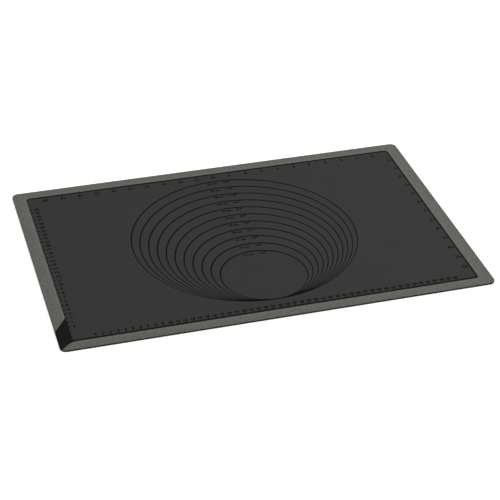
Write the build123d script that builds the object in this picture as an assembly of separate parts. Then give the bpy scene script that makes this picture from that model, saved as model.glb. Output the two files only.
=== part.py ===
"""Silicone baking mat, 600 by 400 mm, modelled as the layers and markings that it is made of.

The mat lies flat. The origin is the middle of its underside, +X runs along its long side,
+Y runs from its near side to its far side, and +Z is up. All lengths are in millimetres.
"""

import os
from dataclasses import dataclass
from math import atan2, degrees, floor, sqrt

from build123d import *

# Outline of the whole mat
mat_length = 600.0
mat_width = 400.0
mat_corner_radius = 9.0

# Black skins, with the glass fibre mesh sealed between them
lower_skin_thickness = 1.2
lower_edge_radius = 0.4
upper_skin_thickness = 0.9
mesh_thickness = 0.2
mesh_margin = 10.0

# Grey border band on the upper skin, widest at the two ends
band_thickness = 0.7
band_edge_radius = 0.2
end_band_width = 18.5
near_band_width = 16.2
far_band_width = 17.2
opening_corner_radius = 5.3

# Black rib inside the band, uneven because the panel lies off the middle of the band's opening
left_rib_width = 1.1
right_rib_width = 2.5
near_rib_width = 4.2
far_rib_width = 3.3

# Charcoal work panel inside the rib
panel_thickness = 0.4
panel_corner_radius = 2.5

# Pouring corner: the gap in the band at the near left corner, from its mouth at the rib to its lip
spout_mouth_width = 54.6
spout_lip_width = 43.1
spout_lip_thickness = 0.15
spout_curve_start = 5.5
spout_curve_lead = 10.0

# Black markings, printed on the panel
mark_thickness = 0.05

# Guide circles, which run together at their lowest point, each given by the diameter of its line.
# The line swells from the near side to the far side: there it is wider by the swell.
circle_step = 20.0
circle_margin = 18.0
smallest_circle_limit = 110.0
circle_line_width = 1.7
circle_line_swell = 0.9
circle_rise = 0.15

# Rulers along the four sides
cm_pitch = 10.0
cm_end_margin = 27.5
inch_pitch = 25.4
inch_end_margin = 23.0
tick_length = 2.8
tick_width = 1.2
end_tick_width = 2.0
left_numeral_gap = 2.8
right_numeral_gap = 0.8
near_numeral_gap = 0.2
far_numeral_gap = 2.1

# Numerals of the centimetre rulers
cm_numeral_height = 5.2
cm_numeral_width = 3.7
cm_numeral_stroke = 1.35

# Numerals of the inch rulers
inch_numeral_height = 6.1
inch_numeral_width = 4.2
inch_numeral_stroke = 1.55

# Gap between the characters of a numeral
numeral_spacing = 0.5

# Labels inside the top of each guide circle, in centimetres and in inches
label_height = 5.0
label_width = 3.4
label_stroke = 1.25
label_spacing = 0.6
label_drop = 0.4
label_cm_start = -14.0
label_inch_start = 9.0

# How far a cutting shape runs past what it cuts
overrun = 5.0

# Heights of the layers above the underside
deck_height = lower_skin_thickness + upper_skin_thickness
panel_top = deck_height + panel_thickness
mark_top = panel_top + mark_thickness

# Centre lines of the characters, as shares of half their width and half their height
bowl_shares = [(0.5, 0.15), (1, -0.2), (1, -0.65), (0.5, -1), (-0.5, -1)]
glyph_shares = {
    "0": [
        [(-1, 0), (-1, 0.5), (-0.5, 1), (0.5, 1), (1, 0.5), (1, 0)],
        [(1, 0), (1, -0.5), (0.5, -1), (-0.5, -1), (-1, -0.5), (-1, 0)],
    ],
    "1": [[(-0.6, 0.5), (0.2, 1), (0.2, -1)]],
    "2": [[(-1, 0.55), (-0.5, 1), (0.5, 1), (1, 0.6), (1, 0.2), (-1, -1), (1, -1)]],
    "3": [
        [(-0.2, 0.05), (0.5, 0.05), (1, 0.35), (1, 0.65), (0.5, 1), (-0.5, 1), (-1, 0.7)],
        [(0.5, 0.05), (1, -0.3), (1, -0.65), (0.5, -1), (-0.5, -1), (-1, -0.7)],
    ],
    "4": [[(0.5, -1), (0.5, 1), (-1, -0.4), (1, -0.4)]],
    "5": [[(0.9, 1), (-0.9, 1), (-0.9, 0.15), *bowl_shares, (-1, -0.7)]],
    "6": [
        [(0.9, 0.75), (0.5, 1), (-0.4, 1), (-1, 0.5), (-1, 0.15), *bowl_shares],
        [(-1, 0.15), (-1, -0.65), (-0.5, -1)],
        [(-1, 0.15), (0.5, 0.15)],
    ],
    "7": [[(-1, 1), (1, 1), (-0.3, -1)]],
    "8": [
        [(-0.5, 0.05), (-1, 0.35), (-1, 0.7), (-0.5, 1), (0.5, 1), (1, 0.7), (1, 0.35), (0.5, 0.05)],
        [(0.5, 0.05), (1, -0.3), (1, -0.65), (0.5, -1), (-0.5, -1), (-1, -0.65), (-1, -0.3), (-0.5, 0.05)],
        [(-0.5, 0.05), (0.5, 0.05)],
    ],
    "c": [[(1, 0.05), (0.5, 0.35), (-0.5, 0.35), (-1, 0), (-1, -0.65), (-0.5, -1), (0.5, -1), (1, -0.7)]],
    "m": [
        [(-1, -1), (-1, 0.35), (-0.3, 0.35), (0, 0.1), (0, -1)],
        [(0, 0.1), (0.3, 0.35), (0.7, 0.35), (1, 0.1), (1, -1)],
    ],
    ".": [[(0, -1)]],
    '"': [[(-1, 1), (-1, 0.45)], [(1, 1), (1, 0.45)]],
    " ": [],
}

# A nine is a six turned half round
glyph_shares["9"] = [[(-x, -y) for x, y in line_shares] for line_shares in glyph_shares["6"]]

# Widths of the characters that aren't as wide as a numeral, as shares of a numeral's width
width_shares = {"m": 1.5, ".": 0.25, '"': 0.85, " ": 0.25}


@dataclass(frozen=True)
class Outline:
    """Rectangle with round corners, given by the places of its four sides."""

    left: float
    right: float
    near: float
    far: float
    radius: float

    def inset(self, left, right, near, far, radius):
        """Outline that lies inside this one by its own distance at each side."""
        return Outline(self.left + left, self.right - right, self.near + near, self.far - far, radius)

    def plan(self):
        """Face inside the outline."""
        middle = Pos((self.left + self.right) / 2, (self.near + self.far) / 2)
        return middle * RectangleRounded(self.right - self.left, self.far - self.near, self.radius)

    def slab(self, bottom, thickness):
        """Flat slab of the outline's shape."""
        return Pos(0, 0, bottom) * extrude(self.plan(), thickness)


# Outlines of the mat, of the band's opening and of the panel inside it
mat = Outline(-mat_length / 2, mat_length / 2, -mat_width / 2, mat_width / 2, mat_corner_radius)
opening = mat.inset(end_band_width, end_band_width, near_band_width, far_band_width, opening_corner_radius)
panel = opening.inset(left_rib_width, right_rib_width, near_rib_width, far_rib_width, panel_corner_radius)

# The largest guide circle is the most whole steps that fit across the panel, and lies at the mat's middle
largest_circle = circle_step * floor((panel.far - panel.near - 2 * circle_margin) / circle_step)
circle_count = floor((largest_circle - smallest_circle_limit) / circle_step) + 1


@dataclass(frozen=True)
class Lettering:
    """Sizes of one kind of printed character."""

    height: float
    width: float
    stroke: float
    spacing: float


def band_plan():
    """Plan of the whole border, from the mat's edge to the rib."""
    return mat.plan() - opening.plan()


def spout_plan():
    """Plan of the gap in the band, run past the mat's edge and over the rib."""
    lip_end, mouth_end = mat.near + spout_lip_width, opening.near + spout_mouth_width
    slant = (mouth_end - lip_end) / end_band_width
    start_x = opening.left + spout_curve_start
    corner_inset = mat.radius * (1 - sqrt(0.5))
    outside = (mat.left + corner_inset - overrun, mat.near + corner_inset - overrun)
    start, end = (start_x, opening.near), (mat.left + corner_inset, mat.near + corner_inset)
    straight = Polyline(
        outside,
        (mat.left - overrun, lip_end - slant * overrun),
        (opening.left, mouth_end),
        (start_x, mouth_end),
        start,
    )
    corner_centre = (mat.left + mat.radius, mat.near + mat.radius)
    curve = Bezier(start, (start_x - spout_curve_lead, opening.near), corner_centre, end)
    return make_face(Curve() + [straight, curve, Line(end, outside)])


def make_mesh():
    """Glass fibre mesh, a thin sheet that keeps the mat from stretching."""
    sheet = Rectangle(mat_length - 2 * mesh_margin, mat_width - 2 * mesh_margin)
    return Pos(0, 0, lower_skin_thickness - mesh_thickness) * extrude(sheet, mesh_thickness)


def make_lower_skin():
    """Black lower skin, rounded under its edge, with the mesh's pocket in its upper face."""
    skin = mat.slab(0, lower_skin_thickness)
    skin = fillet(skin.edges().group_by(Axis.Z)[0], lower_edge_radius)
    return skin - make_mesh()


def make_upper_skin():
    """Black upper skin with the rib that parts the panel from the band."""
    rib_height = mark_top - deck_height
    rib = opening.slab(deck_height, rib_height) - panel.slab(deck_height, rib_height + overrun)
    return mat.slab(lower_skin_thickness, upper_skin_thickness) + rib


def make_panel():
    """Charcoal work panel inside the rib."""
    return panel.slab(deck_height, panel_thickness)


def make_band():
    """Grey border band, open at the pouring corner and rounded along its top edges."""
    band = Pos(0, 0, deck_height) * extrude(band_plan() - spout_plan(), band_thickness)
    return fillet(band.edges().group_by(Axis.Z)[-1], band_edge_radius)


def make_pouring_corner():
    """Black pouring corner, which falls from the panel's level to its lip at the mat's edge."""
    flat_end = opening.left + spout_curve_start
    profile = Polyline(
        (mat.left, mat.near, deck_height),
        (flat_end, mat.near, deck_height),
        (flat_end, mat.near, panel_top),
        (opening.left, mat.near, panel_top),
        (mat.left, mat.near, deck_height + spout_lip_thickness),
        close=True,
    )
    sloped = extrude(make_face(profile), near_band_width + spout_mouth_width, dir=(0, 1, 0))
    return sloped & (Pos(0, 0, deck_height) * extrude(band_plan() & spout_plan(), panel_thickness))


def circle_diameter(index):
    """Diameter of one guide circle's line, counted from the largest."""
    return largest_circle - index * circle_step


def circle_centre(index):
    """Place along Y of one guide circle's centre."""
    return (circle_diameter(index) - largest_circle) / 2 + index * circle_rise


def circle_disc(index, side):
    """Disc to the outer (side 1) or inner (side -1) edge of one guide circle's line."""
    centre = circle_centre(index) + side * circle_line_swell / 2
    return Pos(0, centre) * Circle((circle_diameter(index) + side * circle_line_width) / 2)


def make_circle(index):
    """One guide circle, trimmed where it runs into the line of the next larger one."""
    plan = circle_disc(index, 1)
    if index > 0:
        plan &= circle_disc(index - 1, -1)
    return Pos(0, 0, panel_top) * extrude(plan - circle_disc(index, -1), mark_thickness)


def stroke(start, end, width):
    """Round-ended bar between two points, or a dot where they are one."""
    run = Vector(*end) - Vector(*start)
    middle = Pos((Vector(*start) + Vector(*end)) / 2)
    if run.length == 0:
        return middle * Circle(width / 2)
    return middle * Rot(0, 0, degrees(atan2(run.Y, run.X))) * SlotCenterToCenter(run.length, width)


def character_width(character, style):
    """Width of one character."""
    return style.width * width_shares.get(character, 1)


def text_width(text, style):
    """Width of a line of characters."""
    return sum(character_width(character, style) for character in text) + style.spacing * (len(text) - 1)


def make_character(character, style):
    """Solid of one character, with its lower left corner at the origin."""
    half_width, half_height = character_width(character, style) / 2, style.height / 2
    reach_x = max(half_width - style.stroke / 2, 0)
    reach_y = half_height - style.stroke / 2
    bars = []
    for line_shares in glyph_shares[character]:
        points = [(half_width + x * reach_x, half_height + y * reach_y) for x, y in line_shares]
        bars += [stroke(start, end, style.stroke) for start, end in zip(points, points[1:] or points)]
    return extrude(Sketch() + bars, mark_thickness)


def write_text(text, style, left, bottom, characters):
    """Solids of a line of characters on the panel, copied from the ones already made."""
    solids = []
    for character in text:
        if character not in characters and glyph_shares[character]:
            characters[character] = make_character(character, style)
        if glyph_shares[character]:
            solids.append(Pos(left, bottom, panel_top) * characters[character])
        left += character_width(character, style) + style.spacing
    return solids


@dataclass(frozen=True)
class Ruler:
    """Ruler along one side of the panel, centred on the mat's middle.

    An upright ruler is laid out along the left side and any other along the near side, with the
    panel's edge at its distance from the mat's middle. A turned one is then turned half round.
    """

    side_length: float
    edge_distance: float
    pitch: float
    end_margin: float
    numeral_gap: float
    upright: bool = False
    turned: bool = False

    def places(self):
        """Places of the ruler's units along its side."""
        units = floor((self.side_length - 2 * self.end_margin) / self.pitch)
        return [(unit - units / 2) * self.pitch for unit in range(units + 1)]

    def lay(self, style, characters):
        """Ticks and numerals of the ruler."""
        sizes = (tick_length, end_tick_width) if self.upright else (tick_width, tick_length)
        tick = extrude(Rectangle(*sizes), mark_thickness)
        tick_middle = tick_length / 2 - self.edge_distance
        inner_end = tick_length + self.numeral_gap - self.edge_distance
        ticks, numerals = [], []
        for number, place in enumerate(self.places()):
            middle = (tick_middle, place) if self.upright else (place, tick_middle)
            ticks.append(Pos(*middle, panel_top) * tick)
            left = inner_end if self.upright else place - text_width(str(number), style) / 2
            bottom = place - style.height / 2 if self.upright else inner_end
            numerals += write_text(str(number), style, left, bottom, characters)
        turn = Rot(0, 0, 180 if self.turned else 0)
        return [turn * tick for tick in ticks], [turn * numeral for numeral in numerals]


def make_rulers(cm_style, inch_style):
    """The rulers: centimetres at the near and left sides, inches at the far and right sides."""
    length, width = panel.right - panel.left, panel.far - panel.near
    rulers = {
        "near_cm": Ruler(length, -panel.near, cm_pitch, cm_end_margin, near_numeral_gap),
        "left_cm": Ruler(width, -panel.left, cm_pitch, cm_end_margin, left_numeral_gap, upright=True),
        "far_inch": Ruler(length, panel.far, inch_pitch, inch_end_margin, far_numeral_gap, turned=True),
        "right_inch": Ruler(
            width, panel.right, inch_pitch, inch_end_margin, right_numeral_gap, upright=True, turned=True
        ),
    }
    characters = {cm_style: {}, inch_style: {}}
    pieces = {}
    for side, ruler in rulers.items():
        style = inch_style if ruler.turned else cm_style
        ticks, numerals = ruler.lay(style, characters[style])
        pieces[f"{side}_ticks"] = Compound(children=ticks)
        pieces[f"{side}_numerals"] = Compound(children=numerals)
    return pieces


def make_labels(style):
    """Labels in the top of each guide circle: its diameter in centimetres and in inches."""
    characters = {}
    cm_labels, inch_labels = [], []
    for index in range(circle_count):
        diameter = circle_diameter(index)
        cm_text, inch_text = f"{diameter / cm_pitch:.0f} cm", f'{diameter / inch_pitch:.1f}"'
        line_inside = (diameter - circle_line_width) / 2
        line_centre = circle_centre(index) - circle_line_swell / 2
        label_end = label_inch_start + text_width(inch_text, style)
        top = line_centre + sqrt(line_inside**2 - label_end**2) - label_drop
        cm_labels += write_text(cm_text, style, label_cm_start, top - style.height, characters)
        inch_labels += write_text(inch_text, style, label_inch_start, top - style.height, characters)
    return {
        "circle_labels_cm": Compound(children=cm_labels),
        "circle_labels_inch": Compound(children=inch_labels),
    }


def make_pieces():
    """Every piece of the mat by its name."""
    pieces = {
        "lower_skin": make_lower_skin(),
        "glass_fibre_mesh": make_mesh(),
        "upper_skin": make_upper_skin(),
        "work_panel": make_panel(),
        "border_band": make_band(),
        "pouring_corner": make_pouring_corner(),
    }
    for index in range(circle_count):
        pieces[f"guide_circle_{index + 1:02d}"] = make_circle(index)
    pieces |= make_rulers(
        Lettering(cm_numeral_height, cm_numeral_width, cm_numeral_stroke, numeral_spacing),
        Lettering(inch_numeral_height, inch_numeral_width, inch_numeral_stroke, numeral_spacing),
    )
    pieces |= make_labels(Lettering(label_height, label_width, label_stroke, label_spacing))
    return pieces


os.makedirs("parts", exist_ok=True)
for name, piece in make_pieces().items():
    export_step(piece, f"parts/{name}.step")
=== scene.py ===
"""Silicone baking mat: its finished pieces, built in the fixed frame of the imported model.

The mat lies flat. The origin is the middle of its underside, +X runs along its long side, +Y runs from
its near side to its far side, and +Z is up. All sizes are in metres.
"""

import logging
from collections.abc import Callable, Iterable, Sequence
from dataclasses import dataclass, field
from enum import Enum
from functools import cached_property
from math import cos, degrees, pi, radians, sin, sqrt, tau

import bmesh
import bpy
from mathutils import Matrix, Vector


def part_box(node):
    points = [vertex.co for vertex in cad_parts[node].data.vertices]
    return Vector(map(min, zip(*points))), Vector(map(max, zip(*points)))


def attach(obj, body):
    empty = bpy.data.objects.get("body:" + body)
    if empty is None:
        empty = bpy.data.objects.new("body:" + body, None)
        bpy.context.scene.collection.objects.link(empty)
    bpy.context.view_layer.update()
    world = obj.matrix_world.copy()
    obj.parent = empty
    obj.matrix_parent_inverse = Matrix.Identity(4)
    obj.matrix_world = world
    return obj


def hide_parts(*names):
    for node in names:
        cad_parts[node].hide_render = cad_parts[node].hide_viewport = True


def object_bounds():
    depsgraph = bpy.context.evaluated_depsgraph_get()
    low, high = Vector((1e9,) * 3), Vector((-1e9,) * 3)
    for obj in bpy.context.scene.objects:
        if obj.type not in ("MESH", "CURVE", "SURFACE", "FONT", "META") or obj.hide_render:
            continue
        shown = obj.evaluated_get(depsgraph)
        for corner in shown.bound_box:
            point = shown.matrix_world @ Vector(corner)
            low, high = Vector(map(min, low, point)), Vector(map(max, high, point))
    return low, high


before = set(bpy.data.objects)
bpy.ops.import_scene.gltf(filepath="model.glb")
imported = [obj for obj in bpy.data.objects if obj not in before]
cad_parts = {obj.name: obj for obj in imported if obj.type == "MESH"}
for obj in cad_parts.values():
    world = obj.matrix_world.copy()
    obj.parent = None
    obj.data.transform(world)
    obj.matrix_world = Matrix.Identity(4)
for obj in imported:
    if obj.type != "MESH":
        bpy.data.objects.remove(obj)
CAD_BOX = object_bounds()

LOG = logging.getLogger("baking_mat")
BODY = "root"
MM = 0.001
CM = 10 * MM
INCH = 25.4 * MM
WELD = 0.0005 * MM
SHARP_ANGLE = radians(50)
SMALLEST_RADIUS = 0.2 * MM

Point = tuple[float, float]
Place = tuple[float, float, float]
Colour = tuple[float, float, float]
Row = list[Point]
Socket = bpy.types.NodeSocket


def blend(start: Point, end: Point, share: float) -> Point:
    """Finds the point that lies a share of the way from one point to another."""
    return (start[0] + (end[0] - start[0]) * share, start[1] + (end[1] - start[1]) * share)


def along(path: Sequence[Point], share: float) -> Point:
    """Finds the point at a share of a path's whole length.

    Args:
        path: the points of an open path.
        share: 0 at the path's start and 1 at its end.

    Returns:
        The point on the path.
    """
    runs = [(Vector(end) - Vector(start)).length for start, end in zip(path, path[1:])]
    left = share * sum(runs)
    for start, end, run in zip(path, path[1:], runs):
        if left <= run:
            return blend(start, end, left / run)
        left -= run
    return path[-1]


@dataclass(frozen=True)
class RoundedRectangle:
    """Plan outline with four equal round corners, given by its near left and far right corners."""

    low: Point
    high: Point
    radius: float
    arc_steps: int = 8

    @property
    def middle(self) -> Point:
        """Middle of the outline."""
        return blend(self.low, self.high, 0.5)

    def inset(self, distance: float) -> "RoundedRectangle":
        """Draws the outline in all round.

        Args:
            distance: how far, or less than 0 to widen it.

        Returns:
            The new outline, whose corners keep at least the smallest radius.
        """
        low = (self.low[0] + distance, self.low[1] + distance)
        high = (self.high[0] - distance, self.high[1] - distance)
        return RoundedRectangle(low, high, max(self.radius - distance, SMALLEST_RADIUS), self.arc_steps)

    def corner(self, side_x: int, side_y: int, start: float, turn: float) -> Row:
        """Gives the points of one round corner.

        Args:
            side_x: 1 for a right corner, -1 for a left one.
            side_y: 1 for a far corner, -1 for a near one.
            start: angle of the first point about the corner's centre.
            turn: angle from the first point to the last, which may be negative.

        Returns:
            The points of the arc.
        """
        x = (self.high if side_x > 0 else self.low)[0] - side_x * self.radius
        y = (self.high if side_y > 0 else self.low)[1] - side_y * self.radius
        angles = [start + turn * step / self.arc_steps for step in range(self.arc_steps + 1)]
        return [(x + self.radius * cos(angle), y + self.radius * sin(angle)) for angle in angles]

    def points(self) -> Row:
        """Gives the whole outline, counterclockwise from the near right corner."""
        corners = ((1, -1, -pi / 2), (1, 1, 0.0), (-1, 1, pi / 2), (-1, -1, pi))
        return [point for x, y, start in corners for point in self.corner(x, y, start, pi / 2)]


@dataclass(frozen=True)
class MatFrame:
    """Heights and plan outlines of the mat, from the fixed frame and the sizes that its boxes don't give."""

    corner_radius: float = 9 * MM
    rib_corner_radius: float = 5.3 * MM
    panel_corner_radius: float = 2.5 * MM
    rib_widths_low: Point = (1.1 * MM, 4.2 * MM)
    rib_widths_high: Point = (2.5 * MM, 3.3 * MM)
    band: tuple[Vector, Vector] = field(default_factory=lambda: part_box("border_band"))
    panel: tuple[Vector, Vector] = field(default_factory=lambda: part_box("work_panel"))
    seam: float = field(default_factory=lambda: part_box("lower_skin")[1].z)
    rib_top: float = field(default_factory=lambda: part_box("upper_skin")[1].z)

    @property
    def deck(self) -> float:
        """Level of the upper skin, which the band and the panel lie on."""
        return self.band[0].z

    @property
    def band_top(self) -> float:
        """Level of the band's top."""
        return self.band[1].z

    @property
    def panel_top(self) -> float:
        """Level of the panel's top."""
        return self.panel[1].z

    @property
    def ink(self) -> float:
        """Thickness of the print, which is as high as the rib."""
        return self.rib_top - self.panel_top

    @property
    def outer(self) -> RoundedRectangle:
        """Outline of the whole mat."""
        return RoundedRectangle(self.band[0].xy[:], self.band[1].xy[:], self.corner_radius)

    @property
    def rib(self) -> RoundedRectangle:
        """Outline of the rib's outer side, where the band ends."""
        low = self.panel[0].xy - Vector(self.rib_widths_low)
        high = self.panel[1].xy + Vector(self.rib_widths_high)
        return RoundedRectangle(low[:], high[:], self.rib_corner_radius)

    @property
    def inner(self) -> RoundedRectangle:
        """Outline of the work panel."""
        return RoundedRectangle(self.panel[0].xy[:], self.panel[1].xy[:], self.panel_corner_radius)

    @property
    def band_width(self) -> float:
        """Width of the border band at the mat's ends."""
        return self.rib.low[0] - self.outer.low[0]


class NodeBench:
    """A node tree that is being wired up."""

    def __init__(self, tree: bpy.types.NodeTree) -> None:
        """Starts work on a shader or geometry node tree."""
        self.tree = tree

    def add(self, kind: str, inputs: dict | None = None, **settings: object) -> bpy.types.Node:
        """Adds one node and fills its inputs.

        Args:
            kind: the node's type name.
            inputs: a value or another node's output for each input, by its name or number.
            settings: the node's own settings.

        Returns:
            The new node.
        """
        node = self.tree.nodes.new(kind)
        for name, value in settings.items():
            setattr(node, name, value)
        for key, value in (inputs or {}).items():
            if isinstance(value, Socket):
                self.tree.links.new(value, node.inputs[key])
            else:
                node.inputs[key].default_value = value
        return node

    def calc(self, operation: str, *values: object) -> Socket:
        """Adds a sum of numbers and outputs, by a Math node's operation, and gives its result."""
        return self.add("ShaderNodeMath", dict(enumerate(values)), operation=operation).outputs[0]

    def noise(self, place: Socket, size: float, detail: float = 2.0) -> Socket:
        """Adds a noise from 0 to 1, whose patches are a size wide and have a detail of finer layers."""
        inputs = {"Vector": place, "Scale": 1 / size, "Detail": detail, "Roughness": 0.5}
        return self.add("ShaderNodeTexNoise", inputs).outputs["Fac"]

    def swing(self, pattern: Socket, reach: float) -> Socket:
        """Turns a pattern from 0 to 1 into one that swings about 0 by a reach."""
        return self.calc("MULTIPLY", self.calc("SUBTRACT", pattern, 0.5), 2 * reach)


def fresh_bench(holder: bpy.types.Material | bpy.types.World) -> NodeBench:
    """Empties the nodes of a new material or world and starts work on them.

    Args:
        holder: the material or world.

    Returns:
        The bench that holds its empty tree.
    """
    holder.use_nodes = True
    holder.node_tree.nodes.clear()
    return NodeBench(holder.node_tree)


@dataclass(frozen=True)
class RimLight:
    """Paler strip painted into the colour, fading away on both sides of an outline all round the mat."""

    outline: RoundedRectangle
    width: float
    gain: float

    def mask(self, bench: NodeBench, place: Socket) -> Socket:
        """Draws the strip from the distance to its outline.

        Args:
            bench: the material's tree.
            place: the coordinates of the surface.

        Returns:
            The output that is 1 on the outline and 0 beyond the strip's width.
        """
        parts = bench.add("ShaderNodeSeparateXYZ", {0: place}).outputs
        radius = self.outline.radius
        past = []
        for part, middle, high in zip(parts, self.outline.middle, self.outline.high):
            across = bench.calc("ABSOLUTE", bench.calc("SUBTRACT", part, middle))
            past.append(bench.calc("SUBTRACT", across, high - middle - radius))
        corners = [bench.calc("POWER", bench.calc("MAXIMUM", distance, 0.0), 2.0) for distance in past]
        squares = bench.calc("ADD", *corners)
        inside = bench.calc("MINIMUM", bench.calc("MAXIMUM", *past), 0.0)
        distance = bench.calc("SUBTRACT", bench.calc("ADD", bench.calc("SQRT", squares), inside), radius)
        nearness = bench.calc("DIVIDE", bench.calc("ABSOLUTE", distance), self.width)
        return bench.calc("MAXIMUM", bench.calc("SUBTRACT", 1.0, nearness), 0.0)


@dataclass(frozen=True)
class Silicone:
    """Finish of moulded or printed silicone: its tone, mottling, grain and gloss."""

    name: str
    slot: str
    tone: Colour
    mottle: float
    mottle_size: float
    speckle: float
    speckle_size: float
    grain_size: float
    grain_depth: float
    roughness: float
    roughness_spread: float
    gloss: float
    rims: tuple[RimLight, ...] = ()
    pebble_share: float = 0.6

    def build(self) -> bpy.types.Material:
        """Makes the finish's material.

        Returns:
            The material, which reads object coordinates alone.
        """
        material = bpy.data.materials.new(self.name)
        material.diffuse_color = (*self.tone, 1.0)
        bench = fresh_bench(material)
        place = bench.add("ShaderNodeTexCoord").outputs["Object"]
        cloud = bench.noise(place, self.mottle_size)
        speck = bench.noise(place, self.speckle_size, 1.0)
        pebble_inputs = {"Vector": place, "Scale": 1 / self.grain_size}
        pebble = bench.add("ShaderNodeTexVoronoi", pebble_inputs, feature="F1").outputs["Distance"]
        dust = bench.noise(place, self.grain_size / 2, 3.0)
        grain = bench.calc("ADD", bench.calc("MULTIPLY", pebble, self.pebble_share), dust)
        bump = bench.add("ShaderNodeBump", {"Height": grain, "Distance": self.grain_depth, "Strength": 1.0})
        unevenness = bench.calc("MULTIPLY", bench.calc("ADD", speck, cloud), 0.5)
        rough_inputs = {
            "Value": unevenness,
            "To Min": self.roughness - self.roughness_spread,
            "To Max": self.roughness + self.roughness_spread,
        }
        shader_inputs = {
            "Base Color": self.colour(bench, place, cloud, speck),
            "Roughness": bench.add("ShaderNodeMapRange", rough_inputs).outputs[0],
            "Normal": bump.outputs[0],
            "Specular IOR Level": self.gloss,
        }
        shader = bench.add("ShaderNodeBsdfPrincipled", shader_inputs)
        bench.add("ShaderNodeOutputMaterial", {"Surface": shader.outputs[0]})
        return material

    def colour(self, bench: NodeBench, place: Socket, cloud: Socket, speck: Socket) -> Socket:
        """Mixes the surface's colour from the tone, its unevenness and any paler strips painted in.

        Args:
            bench: the material's tree.
            place: the coordinates of the surface.
            cloud: the broad mottling, from 0 to 1.
            speck: the fine speckle, from 0 to 1.

        Returns:
            The output that holds the colour.
        """
        uneven = bench.calc("ADD", bench.swing(cloud, self.mottle), bench.swing(speck, self.speckle))
        level = bench.calc("ADD", uneven, 1.0)
        # Paler strips lift the colour along an outline; the band's narrow one is a painted highlight.
        for rim in self.rims:
            level = bench.calc("ADD", level, bench.calc("MULTIPLY", rim.mask(bench, place), rim.gain))
        scaled = bench.add("ShaderNodeVectorMath", {0: self.tone, "Scale": level}, operation="SCALE")
        return scaled.outputs[0]


@dataclass(frozen=True)
class GlassFibre:
    """Finish of the coated glass fibre strands."""

    name: str = "glass fibre strands"
    slot: str = "glass_fibre"
    tone: Colour = (0.52, 0.50, 0.43)
    pale_tone: Colour = (0.72, 0.70, 0.62)
    strand_size: float = 0.15 * MM
    streak_depth: float = 0.01 * MM
    roughness: float = 0.45

    def build(self) -> bpy.types.Material:
        """Makes the finish's material.

        Returns:
            The material, streaked as bundled fibres are.
        """
        material = bpy.data.materials.new(self.name)
        bench = fresh_bench(material)
        place = bench.add("ShaderNodeTexCoord").outputs["Object"]
        streak = bench.noise(place, self.strand_size)
        tones = {0: streak, 6: (*self.tone, 1.0), 7: (*self.pale_tone, 1.0)}
        colour = bench.add("ShaderNodeMix", tones, data_type="RGBA").outputs[2]
        bump = bench.add("ShaderNodeBump", {"Height": streak, "Distance": self.streak_depth})
        inputs = {"Base Color": colour, "Roughness": self.roughness, "Normal": bump.outputs[0]}
        shader = bench.add("ShaderNodeBsdfPrincipled", inputs)
        bench.add("ShaderNodeOutputMaterial", {"Surface": shader.outputs[0]})
        return material


@dataclass(frozen=True)
class Dye:
    """A finish together with the material made from it."""

    finish: Silicone | GlassFibre
    material: bpy.types.Material


class PatternTree(NodeBench):
    """A Geometry Nodes tree for a repeated shape, with named inputs for its sizes."""

    def __init__(self, name: str, inputs: dict[str, str]) -> None:
        """Starts the tree.

        Args:
            name: the tree's name.
            inputs: the kind of each input, by the input's name.
        """
        super().__init__(bpy.data.node_groups.new(name, "GeometryNodeTree"))
        face = self.tree.interface
        face.new_socket("Geometry", in_out="OUTPUT", socket_type="NodeSocketGeometry")
        self.keys = {
            label: face.new_socket(label, in_out="INPUT", socket_type=f"NodeSocket{kind}").identifier
            for label, kind in {**inputs, "Material": "Material"}.items()
        }
        self.entry = self.add("NodeGroupInput").outputs

    def close(self, geometry: Socket) -> None:
        """Ends the tree with real geometry in its material.

        Args:
            geometry: what the tree has made, instances among it.
        """
        real = self.add("GeometryNodeRealizeInstances", {0: geometry}).outputs[0]
        inked = self.add("GeometryNodeSetMaterial", {"Geometry": real, "Material": self.entry["Material"]})
        self.add("NodeGroupOutput", {0: inked.outputs[0]})

    def line(self) -> Socket:
        """Sets points in a row, by the tree's inputs Count, First and Step.

        Returns:
            The output that holds the points.
        """
        start, step = self.entry["First"], self.entry["Step"]
        inputs = {"Count": self.entry["Count"], "Start Location": start, "Offset": step}
        return self.add("GeometryNodeMeshLine", inputs, mode="OFFSET").outputs[0]

    def close_with(self, points: Socket, shape: Socket) -> None:
        """Ends the tree with a shape on every point."""
        laid = self.add("GeometryNodeInstanceOnPoints", {"Points": points, "Instance": shape})
        self.close(laid.outputs[0])

    def make(self, name: str, dye: Dye, values: dict[str, object]) -> bpy.types.Object:
        """Runs the tree once and keeps the result as a plain, closed mesh.

        Args:
            name: the new piece's name.
            dye: the finish that it wears.
            values: a value for each input but the material, by its name.

        Returns:
            The new piece.
        """
        piece = new_object(name, bpy.data.meshes.new(name))
        modifier = piece.modifiers.new(self.tree.name, "NODES")
        modifier.node_group = self.tree
        for label, value in {**values, "Material": dye.material}.items():
            modifier[self.keys[label]] = value
        piece.data = evaluated_mesh(piece)
        piece.modifiers.clear()
        work = bmesh.new()
        work.from_mesh(piece.data)
        settled(work, piece.data)
        return piece


def new_object(name: str, data: bpy.types.ID) -> bpy.types.Object:
    """Adds an object to the scene.

    Args:
        name: the object's name.
        data: its mesh, curve, light or camera.

    Returns:
        The object, at the origin.
    """
    made = bpy.data.objects.new(name, data)
    bpy.context.scene.collection.objects.link(made)
    return made


def evaluated_mesh(source: bpy.types.Object) -> bpy.types.Mesh:
    """Takes what an object's modifiers or text make as a mesh of its own.

    Args:
        source: the object to read.

    Returns:
        The new mesh.
    """
    bpy.context.view_layer.update()
    depsgraph = bpy.context.evaluated_depsgraph_get()
    return bpy.data.meshes.new_from_object(source.evaluated_get(depsgraph), depsgraph=depsgraph)


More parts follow.
